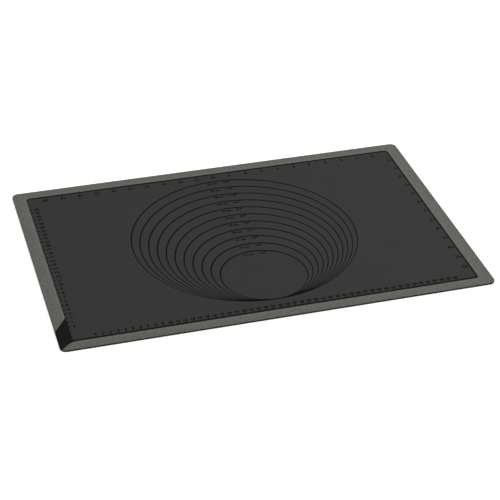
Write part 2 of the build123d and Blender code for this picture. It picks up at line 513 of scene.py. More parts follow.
def settled(work: bmesh.types.BMesh, mesh: bpy.types.Mesh) -> bpy.types.Mesh:
    """Welds a mesh, turns its faces outward and keeps it.

    Args:
        work: the mesh as it was built, which is freed.
        mesh: where it is kept.

    Returns:
        The finished mesh.
    """
    bmesh.ops.remove_doubles(work, verts=work.verts, dist=WELD)
    bmesh.ops.recalc_face_normals(work, faces=work.faces)
    work.to_mesh(mesh)
    work.free()
    return mesh


def new_piece(name: str, work: bmesh.types.BMesh) -> bpy.types.Object:
    """Makes a piece of a mesh that has been built."""
    return new_object(name, settled(work, bpy.data.meshes.new(name)))


def extent(points: Iterable[Vector]) -> tuple[Vector, Vector]:
    """Finds the low and the high corner of the box round some points."""
    axes = list(zip(*points))
    return Vector([min(axis) for axis in axes]), Vector([max(axis) for axis in axes])


def smoothed(piece: bpy.types.Object) -> bpy.types.Object:
    """Shades a piece's rounded edges smoothly and keeps its flat faces flat.

    Args:
        piece: the piece to shade.

    Returns:
        The same piece, as a plain mesh.
    """
    piece.data.shade_smooth()
    piece.data.set_sharp_from_angle(angle=SHARP_ANGLE)
    modifier = piece.modifiers.new("even shading", "WEIGHTED_NORMAL")
    modifier.keep_sharp = True
    piece.data = evaluated_mesh(piece)
    piece.modifiers.clear()
    return piece


def bridge(work: bmesh.types.BMesh, loops: Sequence[Sequence[bmesh.types.BMVert]]) -> None:
    """Lays a strip of faces between each loop of points and the next.

    Args:
        work: the mesh that is being built.
        loops: the loops, all with the same number of points.
    """
    for lower, upper in zip(loops, loops[1:]):
        for index in range(len(lower)):
            work.faces.new((lower[index - 1], lower[index], upper[index], upper[index - 1]))


def loft(name: str, rings: Sequence[tuple[RoundedRectangle, float]]) -> bpy.types.Object:
    """Makes a closed solid through a row of outlines.

    Args:
        name: the new piece's name.
        rings: each outline and its height, in the order in which a section meets them.

    Returns:
        The new piece, closed by a flat face inside the first outline and the last.
    """
    work = bmesh.new()
    loops = [[work.verts.new((x, y, z)) for x, y in outline.points()] for outline, z in rings]
    bridge(work, loops)
    work.faces.new(loops[0])
    work.faces.new(loops[-1])
    return new_piece(name, work)


def fillet(
    outline: RoundedRectangle, height: float, radius: float, outward: int, upward: int, steps: int = 4
) -> list[tuple[RoundedRectangle, float]]:
    """Gives the outlines of a rounded edge, from its wall to its flat face.

    Args:
        outline: the wall that the edge starts from.
        height: the level of the flat face.
        radius: the edge's radius.
        outward: 1 where the solid lies inside the wall, -1 where it lies outside.
        upward: 1 where the flat face looks up, -1 where it looks down.
        steps: how many strips round the edge.

    Returns:
        Each outline and its height.
    """
    turns = [pi / 2 * step / steps for step in range(steps + 1)]
    return [
        (outline.inset(outward * radius * (1 - cos(turn))), height - upward * radius * (1 - sin(turn)))
        for turn in turns
    ]


def rim_of(grid: Sequence[list]) -> list:
    """Gives what stands round the rim of a grid of rows, in order."""
    rising, falling = [row[-1] for row in grid[1:]], [row[0] for row in grid[-2:0:-1]]
    return grid[0] + rising + grid[-1][-2::-1] + falling


def slab_from_rows(
    name: str,
    rows: Sequence[Row],
    top: Callable[[float, float], float],
    bottom: float,
    edge: float,
    edge_steps: int = 3,
) -> bpy.types.Object:
    """Makes a closed slab whose plan is a grid of points and whose top edge is rounded.

    Args:
        name: the new piece's name.
        rows: the grid's rows of points, all of one length.
        top: gives the height of the top at a point.
        bottom: the height of the flat underside.
        edge: radius of the rounded top edge.
        edge_steps: how many strips round that edge.

    Returns:
        The new piece.
    """
    work = bmesh.new()
    tops = [[work.verts.new((x, y, top(x, y))) for x, y in row] for row in rows]
    feet = [[work.verts.new((x, y, bottom)) for x, y in row] for row in rows]
    for level in (tops, feet):
        for row, following in zip(level, level[1:]):
            for index in range(1, len(row)):
                work.faces.new((row[index - 1], row[index], following[index], following[index - 1]))
    crest = rim_of(tops)
    bridge(work, [crest, rim_of(feet)])
    rim = [work.edges.get((crest[index - 1], crest[index])) for index in range(len(crest))]
    bmesh.ops.recalc_face_normals(work, faces=work.faces)
    round_edge = {"offset": edge, "segments": edge_steps, "profile": 0.5, "affect": "EDGES"}
    bmesh.ops.bevel(work, geom=rim, clamp_overlap=True, **round_edge)
    return new_piece(name, work)


def hand_over(piece: bpy.types.Object, dye: Dye, *nodes: str) -> None:
    """Dresses a finished piece, lets it ride on the mat, and hides the nodes of the fixed frame that it
    replaces.

    Args:
        piece: the finished piece.
        dye: the finish that it wears.
        nodes: the nodes of the fixed frame that it replaces.
    """
    piece.data.materials.clear()
    piece.data.materials.append(dye.material)
    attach(piece, BODY)
    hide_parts(*nodes)
    LOG.info("%s: %d faces, in %s", piece.name, len(piece.data.polygons), dye.finish.slot)


@dataclass
class Skins:
    """Black lower and upper skins, with the rib that parts the panel from the band."""

    mat: MatFrame
    edge_radius: float = 0.4 * MM
    seam_bevel: float = 0.06 * MM
    rib_edge: float = 0.15 * MM
    pocket_margin: float = 10 * MM
    pocket_depth: float = 0.2 * MM
    grip_margin: float = 14 * MM
    grip_depth: float = 0.15 * MM
    grip_slope: float = 0.3 * MM

    def lower(self) -> bpy.types.Object:
        """Builds the lower skin, rounded under its edge and hollowed above for the mesh.

        Returns:
            The new piece.
        """
        outer, seam = self.mat.outer, self.mat.seam
        field_edge = outer.inset(self.grip_margin)
        rings = [(field_edge.inset(self.grip_slope), self.grip_depth), (field_edge, 0.0)]
        rings += reversed(fillet(outer, 0.0, self.edge_radius, 1, -1))
        rings += [(outer, seam - self.seam_bevel), (outer.inset(self.seam_bevel), seam)]
        pocket = outer.inset(self.pocket_margin)
        rings += [(pocket, seam), (pocket, seam - self.pocket_depth)]
        return smoothed(loft("lower_skin_moulding", rings))

    def upper(self) -> bpy.types.Object:
        """Builds the upper skin, whose rib stands as high as the printed marks.

        Returns:
            The new piece.
        """
        outer, seam, deck = self.mat.outer, self.mat.seam, self.mat.deck
        rib, inner, rib_top = self.mat.rib, self.mat.inner, self.mat.rib_top
        rings = [(outer.inset(self.seam_bevel), seam), (outer, seam + self.seam_bevel)]
        rings += [(outer, deck - self.seam_bevel), (outer.inset(self.seam_bevel), deck)]
        rings += [(rib, deck), *fillet(rib, rib_top, self.rib_edge, 1, 1)]
        rings += [*reversed(fillet(inner, rib_top, self.rib_edge, -1, 1)), (inner, deck)]
        return smoothed(loft("upper_skin_moulding", rings))

    def dress(self, dye: Dye) -> None:
        """Builds both skins and dresses them."""
        hand_over(self.lower(), dye, "lower_skin")
        hand_over(self.upper(), dye, "upper_skin")


@dataclass
class GripField:
    """Low dots under the mat, which hold it to the worktop."""

    mat: MatFrame
    skins: Skins
    pitch: float = 8 * MM
    foot_radius: float = 1.7 * MM
    tip_radius: float = 1.2 * MM
    sides: int = 12
    edge_gap: float = 5 * MM

    def tree(self) -> PatternTree:
        """Builds the tree that sets staggered rows of dots.

        Returns:
            The tree, which narrows each dot from its foot down to its tip.
        """
        counts = ("Columns", "Rows")
        inputs = {"Columns": "Int", "Rows": "Int", "Pitch": "Float", "Foot": "Float", "Tip": "Float"}
        work = PatternTree("staggered dots", {**inputs, "Height": "Float", "Sides": "Int"})
        entry, calc = work.entry, work.calc
        steps_x, steps_y = (calc("SUBTRACT", entry[count], 1.0) for count in counts)
        grid_inputs = {
            "Size X": calc("MULTIPLY", steps_x, entry["Pitch"]),
            "Size Y": calc("MULTIPLY", steps_y, entry["Pitch"]),
            "Vertices X": entry["Columns"],
            "Vertices Y": entry["Rows"],
        }
        grid = work.add("GeometryNodeMeshGrid", grid_inputs)
        row = calc("MODULO", work.add("GeometryNodeInputIndex").outputs[0], entry["Rows"])
        stagger = calc("SUBTRACT", calc("MODULO", row, 2.0), 0.5)
        shift = calc("MULTIPLY", calc("MULTIPLY", stagger, 0.5), entry["Pitch"])
        offset = work.add("ShaderNodeCombineXYZ", {"X": shift}).outputs[0]
        placed = work.add("GeometryNodeSetPosition", {"Geometry": grid.outputs[0], "Offset": offset})
        cone_inputs = {
            "Vertices": entry["Sides"],
            "Radius Top": entry["Foot"],
            "Radius Bottom": entry["Tip"],
            "Depth": entry["Height"],
        }
        cone = work.add("GeometryNodeMeshCone", cone_inputs)
        work.close_with(placed.outputs[0], cone.outputs[0])
        return work

    def dress(self, dye: Dye) -> None:
        """Builds the dots and dresses them.

        Args:
            dye: the finish that they wear.
        """
        room = self.mat.outer.inset(self.skins.grip_margin + self.edge_gap)
        values = {
            "Columns": int((room.high[0] - room.low[0]) / self.pitch),
            "Rows": int((room.high[1] - room.low[1]) / self.pitch) + 1,
            "Pitch": self.pitch,
            "Foot": self.foot_radius,
            "Tip": self.tip_radius,
            "Height": self.skins.grip_depth,
            "Sides": self.sides,
        }
        hand_over(self.tree().make("underside_grip_dots", dye, values), dye, "lower_skin")


@dataclass
class FibreMesh:
    """Glass fibre mesh sealed between the skins: two layers of flat strands laid across each other."""

    pitch: float = 2.5 * MM
    strand_width: float = 0.6 * MM

    def tree(self) -> PatternTree:
        """Builds the tree that lays one layer of strands side by side.

        Returns:
            The tree, in which every strand is a flat bar.
        """
        inputs = {"Count": "Int", "First": "Vector", "Step": "Vector", "Strand": "Vector"}
        work = PatternTree("strand layer", inputs)
        strand = work.add("GeometryNodeMeshCube", {"Size": work.entry["Strand"]})
        work.close_with(work.line(), strand.outputs[0])
        return work

    def dress(self, dye: Dye) -> None:
        """Builds both layers and dresses them.

        Args:
            dye: the finish that they wear.
        """
        low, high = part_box("glass_fibre_mesh")
        depth = (high.z - low.z) / 2
        layers = (("fibre_weft", 1, low.z + depth / 2), ("fibre_warp", 0, high.z - depth / 2))
        work = self.tree()
        for name, across, level in layers:
            room = high[across] - low[across] - self.strand_width
            count = int(room / self.pitch) + 1
            first, step, strand = Vector((0, 0, level)), Vector((0, 0, 0)), high - low
            first[across] = -(count - 1) * self.pitch / 2
            step[across] = self.pitch
            strand[across], strand.z = self.strand_width, depth
            values = {"Count": count, "First": first, "Step": step, "Strand": strand}
            hand_over(work.make(name, dye, values), dye, "glass_fibre_mesh")


@dataclass
class WorkPanel:
    """Charcoal work panel inside the rib."""

    mat: MatFrame
    edge_radius: float = 0.1 * MM

    def build(self) -> bpy.types.Object:
        """Builds the panel with its top edge rounded.

        Returns:
            The new piece.
        """
        inner = self.mat.inner
        rings = [(inner, self.mat.deck), *fillet(inner, self.mat.panel_top, self.edge_radius, 1, 1)]
        return smoothed(loft("work_surface", rings))

    def dress(self, dye: Dye) -> None:
        """Builds the panel and dresses it."""
        hand_over(self.build(), dye, "work_panel")


@dataclass(frozen=True)
class PouringPlan:
    """Plan of the gap in the band at the near left corner."""

    mat: MatFrame
    mouth_width: float = 54.6 * MM
    lip_width: float = 43.1 * MM
    curve_start: float = 5.5 * MM
    curve_lead: float = 10 * MM

    @property
    def lip_end(self) -> Point:
        """Where the gap's straight edge meets the mat's left side."""
        left, near = self.mat.outer.low
        return (left, near + self.lip_width)

    @property
    def mouth_end(self) -> Point:
        """Where the gap's straight edge meets the rib."""
        left, near = self.mat.rib.low
        return (left, near + self.mouth_width)

    @property
    def curve_inner(self) -> Point:
        """Where the gap's curved edge meets the rib."""
        left, near = self.mat.rib.low
        return (left + self.curve_start, near)

    @property
    def curve_outer(self) -> Point:
        """Where the gap's curved edge meets the middle of the mat's corner."""
        return self.mat.outer.corner(-1, -1, pi, pi / 4)[-1]

    def bow(self, share: float) -> Point:
        """Gives how far the curved edge stands off its own chord.

        Args:
            share: 0 at the mat's corner and 1 at the rib.

        Returns:
            The offset along X and Y.
        """
        outer = self.mat.outer
        centre = (outer.low[0] + outer.radius, outer.low[1] + outer.radius)
        start, end = self.curve_inner, self.curve_outer
        lead = (start[0] - self.curve_lead, start[1])
        back = 1 - share
        weights = (share**3, 3 * share**2 * back, 3 * share * back**2, back**3)
        chord = blend(end, start, share)
        points = (start, lead, centre, end)
        return tuple(sum(w * p[axis] for w, p in zip(weights, points)) - chord[axis] for axis in (0, 1))

    def row(self, outer: Point, inner: Point, bend: float, shares: Sequence[float]) -> Row:
        """Gives one row of points across the border.

        Args:
            outer: the row's end at the mat's edge.
            inner: the row's end at the rib.
            bend: 0 for a straight row and 1 for one bowed as the curved edge.
            shares: where the points lie, from 0 at the edge to 1 at the rib.

        Returns:
            The points of the row.
        """
        made = []
        for share in shares:
            x, y = blend(outer, inner, share)
            bow_x, bow_y = self.bow(share)
            made.append((x + bend * bow_x, y + bend * bow_y))
        return made


@dataclass
class BorderBand:
    """Grey border band round the rib, open at the pouring corner."""

    mat: MatFrame
    plan: PouringPlan
    edge_radius: float = 0.2 * MM
    bend_length: float = 45 * MM
    bend_steps: int = 14
    across_steps: int = 12

    def side(self, outline: RoundedRectangle, first: Point, last: Row) -> tuple[Row, Row]:
        """Follows one edge of the band clockwise from its straight end.

        Args:
            outline: the edge's outline.
            first: the edge's point at the straight end.
            last: the edge's last points, at the curved end.

        Returns:
            The points up to the bend, and the path round the bend.
        """
        corners = ((-1, 1, pi), (1, 1, pi / 2), (1, -1, 0.0))
        straight = [first]
        for side_x, side_y, start in corners:
            straight += outline.corner(side_x, side_y, start, -pi / 2)
        bend_start = (outline.low[0] + self.bend_length, outline.low[1])
        return straight, [bend_start, *last]

    def build(self) -> bpy.types.Object:
        """Builds the band, straight across at its first row and bowed at its last.

        Returns:
            The new piece.
        """
        shares = [step / self.across_steps for step in range(self.across_steps + 1)]
        arc = self.mat.outer.corner(-1, -1, -pi / 2, -pi / 4)
        outer, outer_bend = self.side(self.mat.outer, self.plan.lip_end, arc)
        inner, inner_bend = self.side(self.mat.rib, self.plan.mouth_end, [self.plan.curve_inner])
        rows = [self.plan.row(*ends, 0.0, shares) for ends in zip(outer, inner)]
        for step in range(self.bend_steps + 1):
            share = step / self.bend_steps
            ends = along(outer_bend, share), along(inner_bend, share)
            rows.append(self.plan.row(*ends, share**2, shares))
        top, deck = self.mat.band_top, self.mat.deck
        band = slab_from_rows("border_moulding", rows, lambda x, y: top, deck, self.edge_radius)
        return smoothed(band)

    def dress(self, dye: Dye) -> None:
        """Builds the band and dresses it."""
        hand_over(self.build(), dye, "border_band")


@dataclass
class PouringCorner:
    """Black pouring corner, which falls in a shallow dish from the panel to its lip."""

    mat: MatFrame
    plan: PouringPlan
    lip_thickness: float = 0.15 * MM
    dish: float = 0.04 * MM
    lip_edge: float = 0.06 * MM
    along_steps: int = 28
    across_steps: int = 16

    def height(self, x: float, y: float) -> float:
        """Gives the height of the corner's top, which only changes along X.

        Args:
            x: place along X.
            y: place along Y.

        Returns:
            The height.
        """
        share = min((x - self.mat.outer.low[0]) / self.mat.band_width, 1.0)
        lip = self.mat.deck + self.lip_thickness
        return lip + (self.mat.panel_top - lip) * share - self.dish * sin(pi * share)

    def build(self) -> bpy.types.Object:
        """Builds the pouring corner, from its straight edge to its curved one.

        Returns:
            The new piece.
        """
        shares = [step / self.across_steps for step in range(self.across_steps + 1)]
        outer = [self.plan.lip_end, *self.mat.outer.corner(-1, -1, pi, pi / 4)]
        inner = [self.plan.mouth_end, *self.mat.rib.corner(-1, -1, pi, pi / 2), self.plan.curve_inner]
        rows = []
        for step in range(self.along_steps + 1):
            share = step / self.along_steps
            rows.append(self.plan.row(along(outer, share), along(inner, share), share**2, shares))
        return smoothed(slab_from_rows("pouring_lip", rows, self.height, self.mat.deck, self.lip_edge))

    def dress(self, dye: Dye) -> None:
        """Builds the pouring corner and dresses it."""
        hand_over(self.build(), dye, "pouring_corner")


@dataclass(frozen=True)
class Lettering:
    """Printed characters of one size, cut from the plain built-in typeface."""

    size: Point
    thickness: float
    weight: float = 0.055
    curve_steps: int = 2

    def outline(self, words: str) -> bpy.types.Mesh:
        """Cuts words as a flat mesh, at the typeface's own size.

        Args:
            words: what to print.

        Returns:
            The mesh.
        """
        text = bpy.data.curves.new("words", "FONT")
        text.body = words
        text.offset = self.weight
        text.resolution_u = self.curve_steps
        holder = new_object("words", text)
        mesh = evaluated_mesh(holder)
        bpy.data.objects.remove(holder)
        bpy.data.curves.remove(text)
        return mesh

    @cached_property
    def scale(self) -> Vector:
        """Scale that gives a nought this lettering's width and height."""
        low, high = extent(vertex.co for vertex in self.outline("0").vertices)
        return Vector((self.size[0] / (high.x - low.x), self.size[1] / (high.y - low.y), 1.0))

    def solid(self, words: str) -> tuple[bpy.types.Mesh, Point]:
        """Cuts words as a thin solid with its lower left corner at the origin.

        Args:
            words: what to print.

        Returns:
            The mesh, and the words' width and height.
        """
        work = bmesh.new()
        work.from_mesh(self.outline(words))
        bmesh.ops.scale(work, vec=self.scale, verts=work.verts)
        low, high = extent(vertex.co for vertex in work.verts)
        bmesh.ops.translate(work, vec=-low, verts=work.verts)
        bmesh.ops.remove_doubles(work, verts=work.verts, dist=WELD)
        bmesh.ops.dissolve_degenerate(work, edges=work.edges, dist=WELD)
        strays = [edge for edge in work.edges if not edge.link_faces]
        bmesh.ops.delete(work, geom=strays, context="EDGES")
        raised = bmesh.ops.extrude_face_region(work, geom=work.faces[:], use_keep_orig=True)["geom"]
        tops = [item for item in raised if isinstance(item, bmesh.types.BMVert)]
        bmesh.ops.translate(work, vec=(0, 0, self.thickness), verts=tops)
        return settled(work, bpy.data.meshes.new("words")), (high.x - low.x, high.y - low.y)


@dataclass
class PrintRun:
    """Words that are printed in one go and make one piece."""

    name: str
    level: float
    work: bmesh.types.BMesh = field(default_factory=bmesh.new)

    def write(self, words: bpy.types.Mesh, corner: Sequence[float], turn: float = 0.0) -> None:
        """Adds words.

        Args:
            words: their solid, which is used up.
            corner: place of their lower left corner.
            turn: angle that they are then turned about the mat's middle.
        """
        words.transform(Matrix.Rotation(turn, 4, "Z") @ Matrix.Translation((*corner, self.level)))
        self.work.from_mesh(words)
        bpy.data.meshes.remove(words)

    def close(self) -> bpy.types.Object:
        """Ends the run and gives its piece."""
        return new_piece(self.name, self.work)


class Side(Enum):
    """The four sides of the panel: the start of their nodes' names, and how their rulers are laid."""

    NEAR = ("near_cm", 0, False)
    LEFT = ("left_cm", 1, False)
    FAR = ("far_inch", 0, True)
    RIGHT = ("right_inch", 1, True)

    def __init__(self, prefix: str, axis: int, turned: bool) -> None:
        """Keeps the side's own values.

        Args:
            prefix: start of the names of the side's nodes.
            axis: 0 where the ruler runs along X, 1 where it runs along Y.
            turned: whether it is turned half round, in inches.
        """
        self.prefix = prefix
        self.axis = axis
        self.across = 1 - axis
        self.turned = turned


@dataclass
class Rulers:
    """Rulers printed along the four sides of the panel, with a tick width for each axis."""

    mat: MatFrame
    tick_length: float = 2.8 * MM
    tick_widths: Point = (1.2 * MM, 2.0 * MM)
    tick_corner: float = 0.35 * MM
    near_gap: float = 0.2 * MM
    left_gap: float = 2.8 * MM
    far_gap: float = 2.1 * MM
    right_gap: float = 0.8 * MM
    cm_numeral_size: Point = (3.7 * MM, 5.2 * MM)
    inch_numeral_size: Point = (4.2 * MM, 6.1 * MM)

    def tree(self) -> PatternTree:
        """Builds the tree that sets a row of round-cornered ticks.

        Returns:
            The tree, which gives each tick its closed underside.
        """
        inputs = {"Count": "Int", "First": "Vector", "Step": "Vector", "Length": "Float", "Width": "Float"}
        work = PatternTree("ruler ticks", {**inputs, "Corner": "Float", "Height": "Float"})
        outline_inputs = {"Width": work.entry["Length"], "Height": work.entry["Width"]}
        outline = work.add("GeometryNodeCurvePrimitiveQuadrilateral", outline_inputs)
        round_inputs = {"Curve": outline.outputs[0], "Radius": work.entry["Corner"], "Count": 3}
        rounded = work.add("GeometryNodeFilletCurve", round_inputs, mode="POLY")
        foot = work.add("GeometryNodeFillCurve", {"Curve": rounded.outputs[0]}, mode="NGONS")
        raise_inputs = {"Mesh": foot.outputs[0], "Offset Scale": work.entry["Height"], "Individual": False}
        raised = work.add("GeometryNodeExtrudeMesh", raise_inputs, mode="FACES")
        joined = work.add("GeometryNodeJoinGeometry")
        work.tree.links.new(raised.outputs[0], joined.inputs[0])
        work.tree.links.new(foot.outputs[0], joined.inputs[0])
        work.close_with(work.line(), joined.outputs[0])
        return work

    def places(self, side: Side) -> list[float]:
        """Finds where a ruler's units lie, from the box of its ticks.

        Args:
            side: the panel's side.

        Returns:
            Their places along the side.
        """
        low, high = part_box(f"{side.prefix}_ticks")
        pitch = INCH if side.turned else CM
        units = int((high[side.axis] - low[side.axis]) / pitch)
        return [(unit - units / 2) * pitch for unit in range(units + 1)]

    def edge(self, side: Side) -> float:
        """Gives how far the panel's edge lies from the mat's middle at a side."""
        corner = self.mat.panel[1 if side.turned else 0]
        return abs(corner[side.across])

    def ticks(self, work: PatternTree, side: Side, dye: Dye) -> bpy.types.Object:
        """Builds one ruler's ticks.

        Args:
            work: the tree that sets them.
            side: the panel's side that they stand on.
            dye: the finish that they wear.

        Returns:
            The new piece.
        """
        places = self.places(side)
        forward = -1 if side.turned else 1
        first, step = Vector((0, 0, self.mat.panel_top)), Vector((0, 0, 0))
        first[side.axis] = forward * places[0]
        first[side.across] = forward * (self.tick_length / 2 - self.edge(side))
        step[side.axis] = forward * (places[1] - places[0])
        size = [self.tick_length, self.tick_length]
        size[side.axis] = self.tick_widths[side.axis]
        values = {
            "Count": len(places),
            "First": first,
            "Step": step,
            "Length": size[0],
            "Width": size[1],
            "Corner": self.tick_corner,
            "Height": self.mat.ink,
        }
        return work.make(f"{side.prefix}_tick_marks", dye, values)

    def numerals(self, side: Side) -> bpy.types.Object:
        """Builds one ruler's numerals.

        Args:
            side: the panel's side that they stand on.

        Returns:
            The new piece.
        """
        numeral_size = self.inch_numeral_size if side.turned else self.cm_numeral_size
        lettering = Lettering(numeral_size, self.mat.ink)
        run = PrintRun(f"{side.prefix}_numbers", self.mat.panel_top)
        gaps = {
            Side.NEAR: self.near_gap,
            Side.LEFT: self.left_gap,
            Side.FAR: self.far_gap,
            Side.RIGHT: self.right_gap,
        }
        start = self.tick_length + gaps[side] - self.edge(side)
        for number, place in enumerate(self.places(side)):
            words, size = lettering.solid(str(number))
            corner = [start, start]
            corner[side.axis] = place - size[side.axis] / 2
            run.write(words, corner, pi if side.turned else 0.0)
        return run.close()

    def dress(self, dye: Dye) -> None:
        """Builds all four rulers and dresses them.

        Args:
            dye: the finish that they wear.
        """
        work = self.tree()
        for side in Side:
            hand_over(self.ticks(work, side, dye), dye, f"{side.prefix}_ticks")
            hand_over(self.numerals(side), dye, f"{side.prefix}_numerals")


@dataclass
class GuideCircles:
    """Guide circles that run together at their lowest point, with two labels at the top of each."""

    mat: MatFrame
    line_width: float = 1.7 * MM
    line_swell: float = 0.9 * MM
    radius_digits: int = 4
    ring_steps: int = 256
    section_steps: int = 6
    shoulder_angle: float = pi / 3
    label_size: Point = (3.4 * MM, 5.0 * MM)
    label_drop: float = 0.4 * MM
    cm_start: float = -14 * MM
    inch_start: float = 9 * MM

    def nodes(self) -> list[str]:
        """Gives the names of the circles' nodes, the largest first."""
        return sorted(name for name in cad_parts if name.startswith("guide_circle_"))

    def circle(self, node: str) -> tuple[float, float]:
        """Reads one circle's radius and centre from the frame.

        Args:
            node: the circle's node.

        Returns:
            The radius of its line and its centre's place along Y.
        """
        low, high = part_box(node)
        radius = round((high.x - low.x) / 2 - self.line_width / 2, self.radius_digits)
        return radius, high.y - self.line_swell / 2 - self.line_width / 2 - radius

    def inner_edge(self, node: str) -> tuple[float, float]:
        """Gives the radius of the inner edge of one circle's line, and that edge's centre along Y."""
        radius, centre = self.circle(node)
        return radius - self.line_width / 2, centre - self.line_swell / 2

    @staticmethod
    def reach(work: PatternTree, angle: Socket, size: Socket, offset: Socket) -> Socket:
        """Finds the distance from a ring's centre to a circle whose own centre lies off it along Y.

        Args:
            work: the ring's tree.
            angle: the direction in which it is measured.
            size: the circle's radius.
            offset: how far its centre lies off the ring's.

        Returns:
            The output that holds the distance.
        """
        across = work.calc("POWER", work.calc("MULTIPLY", offset, work.calc("COSINE", angle)), 2.0)
        chord = work.calc("SQRT", work.calc("SUBTRACT", work.calc("POWER", size, 2.0), across))
        return work.calc("ADD", chord, work.calc("MULTIPLY", offset, work.calc("SINE", angle)))

    def tree(self) -> PatternTree:
        """Builds the tree that bends a strip of ink into a ring and trims it by the next larger one.

        Returns:
            The tree, whose Limit inputs are the inner edge of that larger ring.
        """
        sizes = ("Radius", "Centre", "Limit", "Limit Centre", "Line", "Swell", "Level", "Height")
        inputs = {**dict.fromkeys(sizes, "Float"), "Steps": "Int", "Section Steps": "Int"}
        work = PatternTree("guide ring", inputs)
        entry, calc = work.entry, work.calc
        grid_inputs = {
            "Size X": 1.0,
            "Size Y": 1.0,
            "Vertices X": calc("ADD", entry["Steps"], 1.0),
            "Vertices Y": calc("ADD", entry["Section Steps"], 1.0),
        }
        grid = work.add("GeometryNodeMeshGrid", grid_inputs)
        place = work.add("GeometryNodeInputPosition").outputs[0]
        shares = work.add("ShaderNodeSeparateXYZ", {0: place}).outputs
        angle = calc("MULTIPLY", shares[0], tau)
        half_line, half_swell = (calc("MULTIPLY", entry[label], 0.5) for label in ("Line", "Swell"))
        inner_size, outer_size = (calc(way, entry["Radius"], half_line) for way in ("SUBTRACT", "ADD"))
        limit_offset = calc("SUBTRACT", entry["Limit Centre"], entry["Centre"])
        limit = self.reach(work, angle, entry["Limit"], limit_offset)
        inner = self.reach(work, angle, inner_size, calc("MULTIPLY", half_swell, -1.0))
        outer = calc("MINIMUM", self.reach(work, angle, outer_size, half_swell), limit)
        turn = calc("MULTIPLY", calc("ADD", shares[1], 0.5), tau)
        across = calc("SUBTRACT", 0.5, calc("MULTIPLY", calc("COSINE", turn), 0.5))
        radius = calc("ADD", inner, calc("MULTIPLY", calc("SUBTRACT", outer, inner), across))
        shoulder = calc("DIVIDE", calc("SINE", turn), sin(self.shoulder_angle))
        rise = calc("MULTIPLY", calc("MINIMUM", calc("MAXIMUM", shoulder, 0.0), 1.0), entry["Height"])
        bent_inputs = {
            "X": calc("MULTIPLY", radius, calc("COSINE", angle)),
            "Y": calc("ADD", entry["Centre"], calc("MULTIPLY", radius, calc("SINE", angle))),
            "Z": calc("ADD", entry["Level"], rise),
        }
        bent = work.add("ShaderNodeCombineXYZ", bent_inputs).outputs[0]
        ring = work.add("GeometryNodeSetPosition", {"Geometry": grid.outputs[0], "Position": bent})
        welded = work.add("GeometryNodeMergeByDistance", {0: ring.outputs[0], "Distance": WELD})
        work.close(welded.outputs[0])
        return work

    def rings(self, dye: Dye) -> None:
        """Builds every circle and dresses it.

        Args:
            dye: the finish that the circles wear.
        """
        work = self.tree()
        limit, limit_centre = self.mat.outer.high[0], 0.0
        for node in self.nodes():
            radius, centre = self.circle(node)
            values = {
                "Radius": radius,
                "Centre": centre,
                "Limit": limit,
                "Limit Centre": limit_centre,
                "Line": self.line_width,
                "Swell": self.line_swell,
                "Level": self.mat.panel_top,
                "Height": self.mat.ink,
                "Steps": self.ring_steps,
                "Section Steps": self.section_steps,
            }
            hand_over(work.make(node.replace("circle", "ring"), dye, values), dye, node)
            limit, limit_centre = self.inner_edge(node)

    def labels(self, dye: Dye) -> None:
        """Prints both labels of every circle, level with each other, and dresses them.

        Args:
            dye: the finish that the labels wear.
        """
        lettering = Lettering(self.label_size, self.mat.ink)
        cm_run = PrintRun("cm_circle_labels", self.mat.panel_top)
        inch_run = PrintRun("inch_circle_labels", self.mat.panel_top)
        for node in self.nodes():
            diameter = 2 * self.circle(node)[0]
            cm_words, _ = lettering.solid(f"{diameter / CM:.0f} cm")
            inch_words, inch_size = lettering.solid(f'{diameter / INCH:.1f}"')
            inside, centre = self.inner_edge(node)
            line = centre + sqrt(inside**2 - (self.inch_start + inch_size[0]) ** 2)
            foot = line - self.label_drop - self.label_size[1]
            cm_run.write(cm_words, (self.cm_start, foot))
            inch_run.write(inch_words, (self.inch_start, foot))
        hand_over(cm_run.close(), dye, "circle_labels_cm")
        hand_over(inch_run.close(), dye, "circle_labels_inch")

    def dress(self, dye: Dye) -> None:
        """Builds the circles and their labels."""
        self.rings(dye)
        self.labels(dye)


@dataclass
class PhotoCamera:
    """Camera at the photograph's viewing angle."""

    azimuth: float = radians(16.474)
    elevation: float = radians(32.988)
    roll: float = radians(0.718)
    place: Place = (-0.5344, -1.8357, 1.2215)
    lens: float = 115.164
    sensor: float = 36.0

    def build(self) -> bpy.types.Object:
        """Builds the camera and makes it the scene's own.

        Returns:
            The camera.
        """
        forward = Vector((
            sin(self.azimuth) * cos(self.elevation),
            cos(self.azimuth) * cos(self.elevation),
            -sin(self.elevation),
        ))
        level = Vector((cos(self.azimuth), -sin(self.azimuth), 0.0))
        upright = level.cross(forward)
        right = level * cos(self.roll) + upright * sin(self.roll)
        up = upright * cos(self.roll) - level * sin(self.roll)
        data = bpy.data.cameras.new("photo_camera")
        data.lens, data.sensor_width = self.lens, self.sensor
        camera = new_object("photo_camera", data)
        turned = Matrix((right, up, -forward)).transposed().to_4x4()
        camera.matrix_world = Matrix.Translation(self.place) @ turned
        bpy.context.scene.camera = camera
        LOG.info("camera at %s, turned %.1f degrees", self.place, degrees(self.azimuth))
        return camera


@dataclass(frozen=True)
class Lamp:
    """One soft round lamp, aimed at the mat's middle."""

    name: str
    place: Place
    size: float
    power: float

    def build(self) -> None:
        """Hangs the lamp in its place."""
        data = bpy.data.lights.new(self.name, "AREA")
        data.shape, data.size, data.energy = "DISK", self.size, self.power
        lamp = new_object(self.name, data)
        turned = Vector(self.place).to_track_quat("Z", "Y").to_matrix().to_4x4()
        lamp.matrix_world = Matrix.Translation(self.place) @ turned


